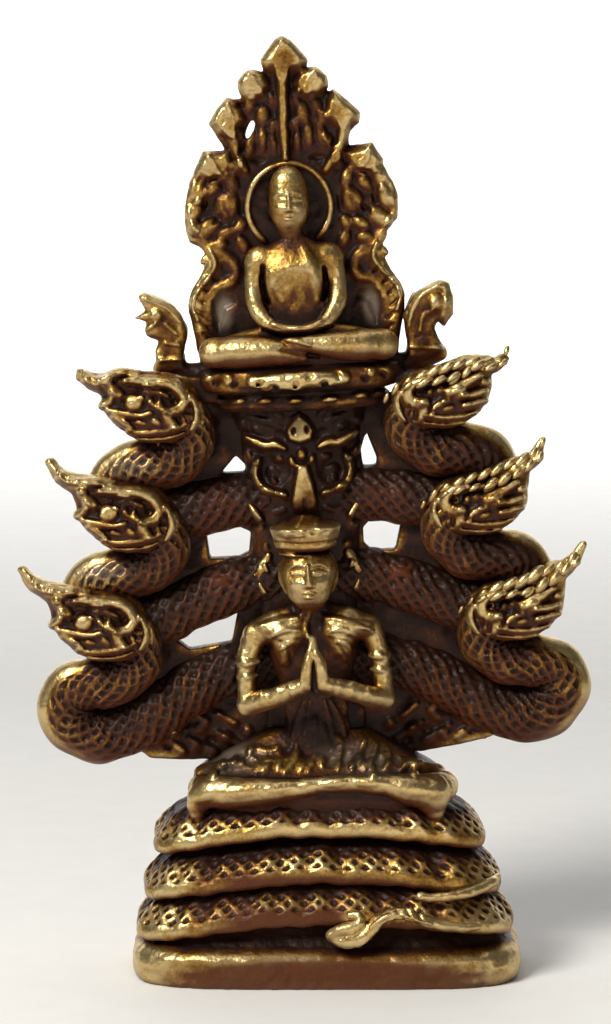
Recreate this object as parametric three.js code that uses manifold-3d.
// A small cast brass statuette from Southeast Asia: a figure seated under a leafy tree, on a lotus seat carried by a
// guardian face, above a crowned worshipper who sits on a coiled serpent, with three serpent heads on each side.
// It is one solid casting. Millimetres, +Z up, the front faces -Y, and the origin is the middle of the plinth's underside.

import * as THREE from "three";
import { mergeVertices } from "three/addons/utils/BufferGeometryUtils.js";
import Module from "manifold-3d";

const wasm = await Module();
wasm.setup();

// Driving dimensions
const HEIGHT = 60.4; // from the underside to the tip of the top leaf
const PLINTH_WIDTH = 24.8;
const PLINTH_DEPTH = 13.6;
const COIL_LIFT = 1.2; // the coils rise this much at the middle of the front
const LEAN_DEG = 3; // above the lap the casting leans to the viewer's left
const WAIST = [-0.65, 0, 14.5]; // where the lean begins, and the origin of everything above it
const SHRINE_ASIDE = 0.2; // the seat, the figure on it and the tree stand this far to the right of the neck
const NECK_RADIUS = 1.75;
const SERPENT_STEP = [2.0, 6.9]; // each serpent is this much further in and up than the one below it

const TOP = HEIGHT - WAIST[2]; // the top leaf's tip above the waist
const FACET_TOLERANCE = 0.12; // how far a facet may stand off the joined forms
const BRASS = new THREE.MeshStandardMaterial({ color: 0x9a7a33, roughness: 0.35, metalness: 1.0 });

const LEFT = -1; // the viewer's left, along -X
const RIGHT = 1;
const SIDES = [LEFT, RIGHT];
const mirrored = (side, points) => points.map(([x, y, z]) => [side * x, y, z]);
const moved = ([dx, dz], points) => points.map(([x, y, z]) => [x + dx, y, z + dz]);

// A closed three.js geometry as a solid that can be joined and cut.
function solid(geometry) {
  const bare = geometry.clone();
  bare.deleteAttribute("normal");
  bare.deleteAttribute("uv");
  const merged = mergeVertices(bare, 1e-4);
  const corners = merged.index.array;
  const kept = [];
  for (let i = 0; i < corners.length; i += 3) {
    const [a, b, c] = [corners[i], corners[i + 1], corners[i + 2]];
    if (a !== b && b !== c && c !== a) kept.push(a, b, c);
  }
  return new wasm.Manifold(
    new wasm.Mesh({
      numProp: 3,
      vertProperties: merged.attributes.position.array,
      triVerts: new Uint32Array(kept),
    }),
  );
}

const join = (parts) => parts.reduce((whole, part) => whole.add(part));

// The value at share t, from 0 to 1, of a list of evenly spaced values.
function along(values, t) {
  const place = t * (values.length - 1);
  const low = Math.min(Math.floor(place), values.length - 2);
  return THREE.MathUtils.lerp(values[low], values[low + 1], place - low);
}

// A round bar with a changing radius, bent along a smooth path: necks, limbs, stems and crests.
// flat is its thickness from front to back as a share of its width.
function bar(points, radii, { sides = 8, steps = 10, flat = 1 } = {}) {
  const path = new THREE.CatmullRomCurve3(points.map((p) => new THREE.Vector3(...p)), false, "centripetal");
  const profile = [new THREE.Vector2(0, 0)];
  for (let i = 0; i <= steps; i++) profile.push(new THREE.Vector2(along(radii, i / steps), i / steps));
  profile.push(new THREE.Vector2(0, 1));
  const geometry = new THREE.LatheGeometry(profile, sides);
  const place = geometry.attributes.position;
  const back = new THREE.Vector3(0, 1, 0);
  const across = new THREE.Vector3();
  const through = new THREE.Vector3();
  const end = new THREE.Vector3();
  for (let i = 0; i < place.count; i++) {
    const t = THREE.MathUtils.clamp(place.getY(i), 0, 1);
    const tangent = path.getTangentAt(t);
    across.crossVectors(tangent, back).normalize();
    through.crossVectors(across, tangent);
    end.copy(path.getPointAt(t));
    end.addScaledVector(across, place.getX(i));
    end.addScaledVector(through, place.getZ(i) * flat);
    place.setXYZ(i, end.x, end.y, end.z);
  }
  return solid(geometry);
}

// An ellipsoid, turned in the front plane by tilt degrees.
function ball([x, y, z], [rx, ry, rz], { round = 10, rings = 7, tilt = 0 } = {}) {
  const geometry = new THREE.SphereGeometry(1, round, rings);
  geometry.scale(rx, ry, rz);
  geometry.rotateY(THREE.MathUtils.degToRad(-tilt));
  geometry.translate(x, y, z);
  return solid(geometry);
}

// A flat plate that faces the front, from an outline of [x, z] points, with a bevelled front and back edge.
function plate(outline, front, thickness, bevel = 0.15) {
  const shape = new THREE.Shape(outline.map(([x, z]) => new THREE.Vector2(x, z)));
  const geometry = new THREE.ExtrudeGeometry(shape, {
    depth: thickness - 2 * bevel,
    bevelEnabled: bevel > 0,
    bevelThickness: bevel,
    bevelSize: bevel,
    bevelOffset: -bevel,
    bevelSegments: 1,
  });
  geometry.rotateX(Math.PI / 2);
  geometry.translate(0, front + thickness - bevel, 0);
  return solid(geometry);
}

// A stack of rounded oblong outlines, from levels of [half width, half depth, z, lift at the middle of the front].
// squareness is 2 for an ellipse and more for a squarer outline.
function stack(levels, { centre = [0, 0], squareness = 4.2, round = 24 } = {}) {
  const [first, last] = [levels[0], levels[levels.length - 1]];
  const rows = [[0, 0, first[2], first[3] ?? 0], ...levels, [0, 0, last[2], last[3] ?? 0]];
  const geometry = new THREE.LatheGeometry(rows.map((row, i) => new THREE.Vector2(row[0] > 0 ? 1 : 0, i)), round);
  const place = geometry.attributes.position;
  const power = 2 / squareness;
  const stretch = (share) => Math.sign(share) * Math.abs(share) ** power;
  for (let i = 0; i < place.count; i++) {
    const row = rows[Math.round(place.getY(i))];
    const x = row[0] * stretch(place.getX(i));
    const y = -row[1] * stretch(place.getZ(i));
    const nearFront = THREE.MathUtils.smoothstep(-y, -row[1], row[1]);
    const lift = (row[3] ?? 0) * (row[0] > 0 ? 1 - (x / row[0]) ** 2 : 1) * nearFront;
    place.setXYZ(i, centre[0] + x, centre[1] + y, row[2] + lift);
  }
  return solid(geometry);
}

// Plinth, the three coils of the serpent's body and its tail
function base() {
  const [w, d, lift] = [PLINTH_WIDTH / 2, PLINTH_DEPTH / 2, COIL_LIFT];
  const plinth = stack([
    [w - 0.4, d - 0.4, 0],
    [w, d, 0.9],
    [w - 0.25, d - 0.25, 1.75],
    [w - 1.1, d - 1.1, 2.4],
    [w - 2.2, d - 2.2, 4.5],
  ]);
  // Each coil: its largest half width and half depth, its height and how far it stands to the viewer's left.
  const coils = [
    { width: w - 0.45, depth: d - 0.4, z: 3.85, aside: 0.15 },
    { width: w - 1.1, depth: d - 1.0, z: 6.65, aside: 0.3 },
    { width: w - 1.9, depth: d - 1.6, z: 9.5, aside: 0.5 },
  ].map(({ width, depth, z, aside }) =>
    stack(
      [
        [width - 1.8, depth - 1.8, z - 1.5, lift],
        [width - 0.35, depth - 0.35, z - 1.1, lift],
        [width + 0.05, depth + 0.05, z - 0.2, lift],
        [width - 0.65, depth - 0.65, z + 1.1, lift],
        [width - 1.9, depth - 1.9, z + 1.75, lift],
      ],
      { centre: [-aside, 0] },
    ),
  );
  const tail = [
    bar(
      [[9.6, -5.2, 3.3], [7.4, -6.0, 3.3], [5.2, -6.35, 3.9], [3.4, -6.5, 3.9], [2.3, -6.5, 3.0]],
      [0.3, 0.5, 0.55, 0.6, 0.55],
      { sides: 5, steps: 7 },
    ),
    bar([[2.7, -6.4, 3.1], [1.7, -6.6, 2.7], [0.0, -6.5, 2.9]], [0.45, 0.75, 0.15], { sides: 5, steps: 3 }),
  ];
  const lip = bar([[5.9, -5.5, 5.6], [8.3, -5.1, 5.45], [10.2, -3.4, 5.7]], [0.15, 0.32, 0.2], { sides: 4, steps: 5 });
  return [plinth, ...coils, ...tail, lip];
}

// The worshipper's folded legs, seen as one broad lap with the knees at its ends
function lap() {
  const cushion = stack(
    [
      [7.9, 4.3, 10.2, 0.5],
      [8.6, 5.0, 11.0, 0.4],
      [8.75, 5.1, 12.0, 0.1],
      [8.6, 4.7, 12.8],
      [7.6, 3.6, 13.5],
      [6.0, 2.4, 14.3],
      [3.6, 1.7, 15.4],
    ],
    { centre: [-0.5, -0.1], squareness: 3.6, round: 24 },
  );
  const shins = [
    bar([[-7.6, -3.7, 11.9], [-4.0, -4.7, 12.0], [-1.2, -5.0, 12.3]], [1.3, 1.15, 0.8], { steps: 5, flat: 0.75 }),
    bar([[6.9, -3.7, 11.9], [3.6, -4.7, 12.2], [-1.0, -4.9, 12.4]], [1.3, 1.1, 0.8], { steps: 5, flat: 0.75 }),
  ];
  const knees = [
    ball([-7.5, -3.4, 11.8], [1.75, 1.9, 1.25], { round: 8, rings: 6 }),
    ball([6.6, -3.4, 11.8], [1.75, 1.9, 1.25], { round: 8, rings: 6 }),
  ];
  return [cushion, ...shins, ...knees];
}

// The crowned worshipper above the waist, with palms joined. Measured from the waist.
function worshipper() {
  const torso = stack(
    [
      [2.3, 1.5, 0.0],
      [1.9, 1.3, 2.2],
      [2.7, 1.6, 5.0],
      [3.5, 1.7, 7.2],
      [3.1, 1.4, 8.3],
      [1.2, 0.9, 9.0],
    ],
    { centre: [0, -1.3], squareness: 2.3, round: 10 },
  );
  const collar = ball([0, -1.9, 8.1], [2.9, 1.3, 0.95], { round: 10, rings: 4 });
  const neck = bar([[0, -1.4, 8.2], [0, -2.0, 10.2]], [0.95, 0.95], { sides: 6, steps: 1 });
  const head = [
    ball([0, -2.5, 11.9], [1.75, 1.5, 1.85], { round: 9, rings: 6 }),
    ball([0, -2.9, 10.9], [1.3, 1.2, 1.45], { round: 8, rings: 6 }),
    bar([[0, -4.0, 12.2], [0, -4.25, 11.2]], [0.18, 0.36], { sides: 4, steps: 1 }),
  ];
  const crown = stack(
    [
      [1.85, 1.6, 12.9],
      [2.1, 1.9, 13.3],
      [2.2, 2.0, 14.3],
      [1.6, 1.4, 14.9],
      [0.8, 0.8, 15.6],
    ],
    { centre: [0, -2.5], squareness: 2, round: 10 },
  );
  const limbs = SIDES.flatMap((side) => [
    ball([side * 3.8, -1.3, 7.6], [1.15, 1.15, 1.05], { round: 7, rings: 4 }),
    bar(mirrored(side, [[4.0, -1.2, 7.8], [4.35, -1.5, 5.6], [4.5, -2.2, 3.2]]), [0.95, 0.8, 0.7], { sides: 7, steps: 2 }),
    bar(mirrored(side, [[4.6, -2.0, 3.1], [2.7, -3.3, 3.6], [0.8, -4.3, 4.3]]), [0.62, 0.6, 0.5], { sides: 6, steps: 2 }),
    bar(mirrored(side, [[0.85, -4.3, 4.0], [0.5, -4.6, 5.8], [0.12, -4.5, 7.6]]), [0.45, 0.5, 0.2], { sides: 6, steps: 3 }),
    bar(mirrored(side, [[3.5, -1.9, 5.9], [4.4, -2.5, 5.8], [5.1, -1.6, 5.8]]), [0.3, 0.34, 0.3], { sides: 4, steps: 2 }),
    bar(mirrored(side, [[2.5, -1.3, 12.6], [3.3, -1.3, 11.4], [3.0, -1.5, 10.2]]), [0.3, 0.5, 0.2], { sides: 4, steps: 2 }),
  ]);
  const sash = bar([[0, -1.8, 3.0], [0, -2.7, 1.5], [0, -3.3, 0.2]], [0.5, 0.9, 1.1], { sides: 6, steps: 2, flat: 0.5 });
  return [torso, collar, neck, ...head, crown, ...limbs, sash];
}

// The broad neck that carries the seat, with the guardian's face on its front. Measured from the waist.
function guardian() {
  const neck = stack(
    [
      [3.4, 1.5, -1.8],
      [3.3, 1.3, 3.0],
      [3.3, 1.4, 9.0],
      [3.7, 1.8, 14.5],
      [3.7, 2.2, 17.5],
      [4.2, 2.5, 20.5],
      [5.4, 2.8, 22.6],
    ],
    { centre: [0, 0.4], squareness: 2.6, round: 14 },
  );
  const nose = bar([[0, -1.7, 18.9], [0, -2.5, 17.2], [0, -2.9, 15.7]], [0.3, 0.42, 0.78], { sides: 5, steps: 2 });
  const knob = ball([0, -2.1, 18.9], [0.38, 0.5, 0.42], { round: 5, rings: 4 });
  const flame = plate([[0, 21.8], [0.75, 20.9], [0.6, 20.2], [0, 20.0], [-0.6, 20.2], [-0.75, 20.9]], -2.7, 1.2);
  const features = SIDES.flatMap((side) => [
    ball([side * 1.8, -1.7, 17.7], [0.85, 0.75, 0.8], { round: 7, rings: 4 }),
    bar(mirrored(side, [[1.2, -1.95, 19.5], [2.3, -1.75, 19.8], [3.5, -1.35, 20.6]]), [0.2, 0.4, 0.25], { sides: 4, steps: 2 }),
    bar(
      mirrored(side, [[2.8, -1.25, 18.8], [3.05, -1.15, 17.8], [2.4, -1.4, 16.8], [1.2, -1.7, 16.5]]),
      [0.2, 0.35, 0.35, 0.2],
      { sides: 4, steps: 4 },
    ),
    bar(mirrored(side, [[3.5, -0.7, 16.2], [3.0, -1.0, 15.2], [2.2, -1.35, 14.4]]), [0.25, 0.4, 0.25], { sides: 4, steps: 2 }),
  ]);
  return [neck, nose, knob, flame, ...features];
}

// One serpent of the viewer's right side, the lowest: its neck leaves the middle, turns back on itself and lifts the head.
const LOOP = [
  [12.0, -0.1, 1.75],
  [14.4, -0.2, 1.5],
  [15.9, -0.3, 2.8],
  [15.7, -0.4, 4.3],
  [14.2, -0.7, 4.9],
  [12.4, -1.0, 5.1],
  [10.95, -1.4, 6.3],
  [10.9, -1.9, 7.9],
  [12.2, -2.2, 8.6],
];
// The way from the middle to the loop, and the tip of the crest, from the lowest serpent to the highest
const SERPENTS = [
  { root: [[1.0, 0.4, 6.0], [6.3, 0.2, 4.9], [9.4, 0, 3.2]], crest: [17.9, -1.9, 12.6] },
  { root: [[1.0, 0.4, 11.4], [4.8, 0.2, 10.7], [7.8, 0, 9.6]], crest: [15.6, -1.9, 19.3] },
  { root: [[1.0, 0.4, 16.3], [4.6, 0.2, 16.1]], crest: [13.5, -1.9, 24.6] },
];

function serpent(side, level) {
  const { root, crest } = SERPENTS[level];
  const shift = [-level * SERPENT_STEP[0], level * SERPENT_STEP[1]];
  const at = (points) => mirrored(side, moved(shift, points));
  const r = NECK_RADIUS;
  const neck = bar(
    [...mirrored(side, root), ...at(LOOP)],
    [r, r, r, r, r, r, r, r * 0.95, r * 0.9, r * 0.85, r * 0.8],
    { sides: 7, steps: 17 - 2 * level },
  );
  const skull = bar(
    at([[10.6, -2.1, 8.3], [12.4, -2.3, 8.5], [14.6, -2.4, 9.0], [16.5, -2.3, 9.7]]),
    [1.2, 1.8, 1.45, 0.5],
    { sides: 7, steps: 3, flat: 0.85 },
  );
  const jaw = bar(at([[11.6, -2.2, 7.4], [13.4, -2.4, 7.1], [15.0, -2.4, 7.5]]), [0.8, 0.75, 0.5], { sides: 5, steps: 2 });
  const horn = bar(
    [...at([[11.6, -2.1, 9.6], [14.4, -2.1, 10.3]]), ...mirrored(side, [crest])],
    [0.6, 0.85, 0.7, 0.18],
    { sides: 5, steps: 3 },
  );
  const eye = ball(at([[14.4, -3.5, 9.0]])[0], [0.5, 0.5, 0.5], { round: 5, rings: 4 });
  const spines = [0, 1, 2].map((i) =>
    bar(at([[11.6 + 1.2 * i, -2.2, 9.5], [11.4 + 1.3 * i, -2.3, 10.4 + 0.15 * i]]), [0.55, 0.1], { sides: 3, steps: 1 }),
  );
  const cheek = bar(
    at([[13.6, -3.4, 9.9], [11.9, -3.5, 9.7], [11.3, -3.4, 8.6], [12.2, -3.6, 7.7]]),
    [0.15, 0.4, 0.45, 0.25],
    { sides: 3, steps: 3 },
  );
  const ruff = bar(at([[11.0, -2.4, 10.0], [10.3, -2.9, 8.4], [11.0, -2.9, 6.8]]), [0.3, 0.5, 0.3], { sides: 3, steps: 2 });
  return [neck, skull, jaw, horn, eye, ...spines, cheek, ruff];
}

// The thin sheet of metal that joins the necks on each side, and a short stay on the viewer's left
function webs() {
  const outline = [
    [2.5, -0.9], [7.6, -0.6], [10.9, -0.2], [15.2, 2.6], [15.2, 4.0], [10.8, 6.4], [10.5, 9.2], [13.1, 9.8], [13.0, 11.0],
    [9.8, 13.0], [9.0, 16.4], [11.0, 16.6], [11.0, 17.8], [8.9, 19.9], [7.6, 22.4], [2.5, 22.6],
  ];
  const sheets = SIDES.map((side) => plate(outline.map(([x, z]) => [side * x, z]), -0.2, 1.3, 0.2));
  const stay = bar([[-8.9, -1.0, 18.8], [-8.9, -1.4, 20.4]], [0.35, 0.35], { sides: 5, steps: 1 });
  const shoulder = plate([[-5.0, 22.6], [-9.4, 22.6], [-10.6, 24.0], [-9.0, 24.4], [-5.0, 24.4]], -1.4, 1.8, 0.2);
  return [...sheets, stay, shoulder];
}

// The openings between the necks, as outlines cut right through. The lowest on the viewer's right is closed by the sheet.
const WINDOWS = [
  [[-8.7, 7.45], [-7.8, 6.7], [-5.1, 7.05], [-4.6, 9.1], [-5.2, 9.2], [-6.4, 9.0], [-7.3, 8.4]],
  [[-6.2, 12.5], [-4.4, 12.5], [-3.7, 12.8], [-3.5, 14.1], [-4.3, 14.5], [-5.8, 14.5], [-6.35, 14.2]],
  [[-5.2, 17.95], [-3.7, 17.95], [-3.6, 18.4], [-4.2, 19.05]],
  [[-8.5, 19.5], [-7.9, 19.45], [-7.5, 19.8], [-7.5, 20.4], [-7.9, 20.65], [-8.5, 20.4]],
  [[3.7, 13.0], [4.2, 12.5], [5.7, 12.5], [6.15, 14.3], [5.0, 14.55], [4.1, 14.4], [3.7, 14.0]],
  [[3.9, 17.95], [4.7, 17.95], [4.8, 18.4], [4.2, 20.15], [3.8, 19.0]],
];

function fan() {
  const necks = SIDES.flatMap((side) => SERPENTS.flatMap((_, level) => serpent(side, level)));
  const [front, depth] = [-6, 12];
  const whole = join([...guardian(), ...necks, ...webs()]);
  return WINDOWS.reduce((pierced, outline) => pierced.subtract(plate(outline, front, depth, 0)), whole);
}

// The lotus seat: two rows of petals with a waist between them, and a small serpent at each end
const SEAT_TOP = 24.9;
function seat() {
  const slab = stack(
    [
      [5.2, 2.6, 21.6],
      [6.0, 3.1, 22.2],
      [6.0, 3.1, 22.8],
      [5.6, 2.7, 23.2],
      [6.9, 3.4, 23.6],
      [7.1, 3.6, 24.2],
      [6.4, 3.2, SEAT_TOP],
    ],
    { squareness: 2.4, round: 20 },
  );
  const petals = [];
  for (const [half, deep, z, count] of [[7.0, 3.5, 24.0, 12], [6.0, 3.05, 22.5, 10]]) {
    for (let i = 0; i < count; i++) {
      const angle = (Math.PI * (i + 0.5)) / count;
      const [x, y] = [-half * Math.cos(angle), -deep * Math.sin(angle)];
      petals.push(ball([x, y, z], [0.62, 0.5, 0.5], { round: 4, rings: 2 }));
    }
  }
  const wings = SIDES.map((side) =>
    bar(mirrored(side, [[5.0, 0, 24.4], [7.6, 0, 24.5], [8.9, 0, 24.9]]), [0.8, 0.7, 0.5], { sides: 6, steps: 2 }),
  );
  return [slab, ...petals, ...wings];
}

// A small serpent at each end of the seat: the one on the right tucks its beak in, the one on the left gapes.
function finials() {
  const right = [
    [8.0, 24.6], [9.4, 25.2], [8.8, 26.6], [9.1, 27.0], [9.5, 26.6], [10.1, 27.4], [10.2, 28.5], [9.9, 29.4], [9.3, 29.6],
    [7.6, 28.8], [6.9, 27.5], [7.1, 26.0], [6.9, 24.6],
  ];
  const left = [
    [6.9, 24.6], [7.1, 25.8], [6.8, 27.3], [7.2, 28.3], [7.8, 29.0], [9.4, 29.8], [9.8, 29.6], [9.4, 28.6], [10.1, 28.2],
    [9.4, 27.9], [9.5, 27.1], [9.2, 26.9], [8.6, 26.7], [8.9, 26.0], [9.0, 24.6],
  ];
  return [
    plate(right, -1.0, 2.0, 0.3),
    plate(left.map(([x, z]) => [-x, z]), -1.0, 2.0, 0.3),
    ball([9.1, -0.8, 28.1], [0.7, 0.7, 0.75], { round: 6, rings: 5 }),
    ball([-8.9, -0.8, 28.3], [0.8, 0.6, 0.6], { round: 6, rings: 5 }),
  ];
}

// The figure seated with crossed legs and its hands in its lap, and the ring behind its head
function seatedFigure() {
  const legs = [
    stack([[5.3, 1.9, SEAT_TOP - 0.3], [5.4, 2.0, 25.9], [3.6, 1.5, 26.7]], { centre: [0, -0.9], squareness: 2.6, round: 12 }),
    bar([[-5.4, -2.1, 25.8], [-2.6, -2.9, 25.7], [0.8, -3.2, 25.5]], [0.82, 0.78, 0.45], { sides: 7, steps: 3 }),
    bar([[5.4, -2.1, 25.8], [2.6, -2.9, 25.9], [-0.9, -3.1, 26.3]], [0.82, 0.75, 0.4], { sides: 7, steps: 3 }),
    ...SIDES.map((side) => ball([side * 5.3, -2.0, 25.8], [0.9, 0.95, 0.85], { round: 7, rings: 4 })),
  ];
  const torso = stack(
    [
      [1.6, 1.1, 26.2],
      [1.35, 1.0, 28.0],
      [1.9, 1.15, 30.2],
      [2.3, 1.1, 31.6],
      [1.7, 0.9, 32.4],
      [0.7, 0.6, 33.0],
    ],
    { centre: [0, -0.9], squareness: 2.3, round: 10 },
  );
  const arms = SIDES.flatMap((side) => [
    ball([side * 2.25, -0.9, 31.6], [0.75, 0.75, 0.75], { round: 7, rings: 4 }),
    bar(
      mirrored(side, [[2.35, -0.9, 31.7], [2.7, -1.0, 29.9], [2.55, -1.5, 28.6], [1.4, -2.4, 27.5], [0, -2.7, 27.2]]),
      [0.55, 0.5, 0.5, 0.42, 0.4],
      { sides: 6, steps: 6 },
    ),
  ]);
  const robe = bar([[1.5, -1.5, 32.0], [1.4, -2.0, 30.5], [1.3, -1.9, 28.6]], [0.3, 0.35, 0.25], { sides: 4, steps: 2 });
  const head = [
    bar([[0, -0.9, 32.6], [0, -1.0, 34.0]], [0.62, 0.62], { sides: 6, steps: 1 }),
    ball([0, -1.2, 35.2], [1.2, 1.1, 1.5], { round: 8, rings: 6 }),
    ball([0, -1.4, 34.4], [0.95, 0.9, 1.15], { round: 7, rings: 5 }),
    bar([[0, -1.0, 36.2], [0, -0.9, 37.6]], [0.62, 0.15], { sides: 6, steps: 1 }),
    bar([[0, -2.3, 35.4], [0, -2.5, 34.7]], [0.1, 0.22], { sides: 4, steps: 1 }),
  ];
  const halo = solid(new THREE.TorusGeometry(2.65, 0.28, 4, 16).rotateX(Math.PI / 2).translate(0, -0.45, 34.7));
  return [...legs, torso, ...arms, robe, ...head, halo];
}

// An arrow-shaped leaf with its tip up, turned by tilt degrees
function leaf([x, z], size, tilt, front, bevel = 0.22) {
  const outline = [[0, 1.0], [0.75, 0.05], [0.35, -0.35], [0, -0.15], [-0.35, -0.35], [-0.75, 0.05]];
  const turn = THREE.MathUtils.degToRad(-tilt);
  const points = outline.map(([a, b]) => [
    x + size * (a * Math.cos(turn) - b * Math.sin(turn)),
    z + size * (a * Math.sin(turn) + b * Math.cos(turn)),
  ]);
  return plate(points, front, 1.1, bevel);
}

// The tree behind the seated figure: a lobed sheet, its leaves and stems, and the vine along each edge
function tree() {
  const edge = [
    [0.6, TOP - 1.4], [1.5, 43.4], [2.4, 42.6], [2.6, 41.3], [3.9, 40.5], [3.6, 38.6], [5.3, 38.3], [6.3, 36.5], [6.7, 34.8],
    [6.6, 33.3], [5.0, 32.2], [5.2, 31.2], [6.8, 28.7], [6.3, 26.6], [6.1, 24.6],
  ];
  const outline = [...edge, ...edge.map(([x, z]) => [-x, z]).reverse()];
  const chink = ball([-2.4, 0, 39.9], [0.3, 3, 0.6], { round: 6, rings: 4, tilt: 20 });
  const sheet = plate(outline, -0.1, 1.1, 0.25).subtract(chink);
  const top = leaf([0, TOP - 2.2], 2.2, 0, -1.0);
  const leaves = SIDES.flatMap((side) => [
    leaf([side * 2.05, 42.2], 1.35, side * 12, -0.8),
    leaf([side * 3.6, 40.0], 1.8, side * -8, -0.9),
    leaf([side * 5.0, 37.3], 1.4, side * 20, -0.8),
    leaf([side * 1.3, 39.9], 0.9, side * 10, -0.8, 0),
    leaf([side * 2.1, 38.4], 0.9, side * 20, -0.8, 0),
    leaf([side * 4.1, 34.9], 0.9, side * 60, -0.7, 0),
  ]);
  const stems = [
    bar([[0, -0.6, TOP - 1.2], [0, -0.7, 38.0]], [0.22, 0.3], { sides: 4, steps: 1 }),
    ...SIDES.map((side) =>
      bar(mirrored(side, [[3.7, -0.7, 40.3], [3.3, -0.6, 38.4], [2.4, -0.5, 36.6]]), [0.25, 0.28, 0.28], { sides: 4, steps: 2 }),
    ),
  ];
  const vines = SIDES.map((side) =>
    bar(
      mirrored(side, [
        [5.6, -0.2, 37.4], [6.4, -0.2, 35.6], [6.6, -0.2, 34.0], [5.7, -0.2, 32.5],
        [5.0, -0.2, 31.6], [5.9, -0.2, 29.8], [6.5, -0.2, 28.4], [6.1, -0.2, 26.6], [6.0, -0.2, 24.8],
      ]),
      [0.35, 0.4, 0.4, 0.4, 0.35, 0.4, 0.4, 0.35, 0.35],
      { sides: 4, steps: 12 },
    ),
  );
  return [sheet, top, ...leaves, ...stems, ...vines];
}

// Everything above the waist leans together.
const lean = new THREE.Matrix4()
  .makeTranslation(...WAIST)
  .multiply(new THREE.Matrix4().makeRotationY(THREE.MathUtils.degToRad(-LEAN_DEG)));

const shrine = join([...seat(), ...seatedFigure(), ...tree()]).translate([SHRINE_ASIDE, 0, 0]);
const upper = join([...worshipper(), fan(), ...finials(), shrine]).transform(lean.elements);
const casting = join([...base(), ...lap(), upper]).asOriginal().simplify(FACET_TOLERANCE);

// The outer surface of the casting as one named mesh
function meshOf(name, whole) {
  const outer = whole.decompose().filter((piece) => piece.volume() > 0);
  if (outer.length !== 1) throw new Error(`${name} is in ${outer.length} pieces`);
  const { vertProperties, triVerts } = outer[0].getMesh();
  const geometry = new THREE.BufferGeometry();
  geometry.setAttribute("position", new THREE.BufferAttribute(vertProperties, 3));
  geometry.setIndex(new THREE.BufferAttribute(triVerts, 1));
  const mesh = new THREE.Mesh(geometry, BRASS);
  mesh.name = name;
  return mesh;
}

const statuette = new THREE.Group();
statuette.add(meshOf("brass_casting", casting));

export default statuette;
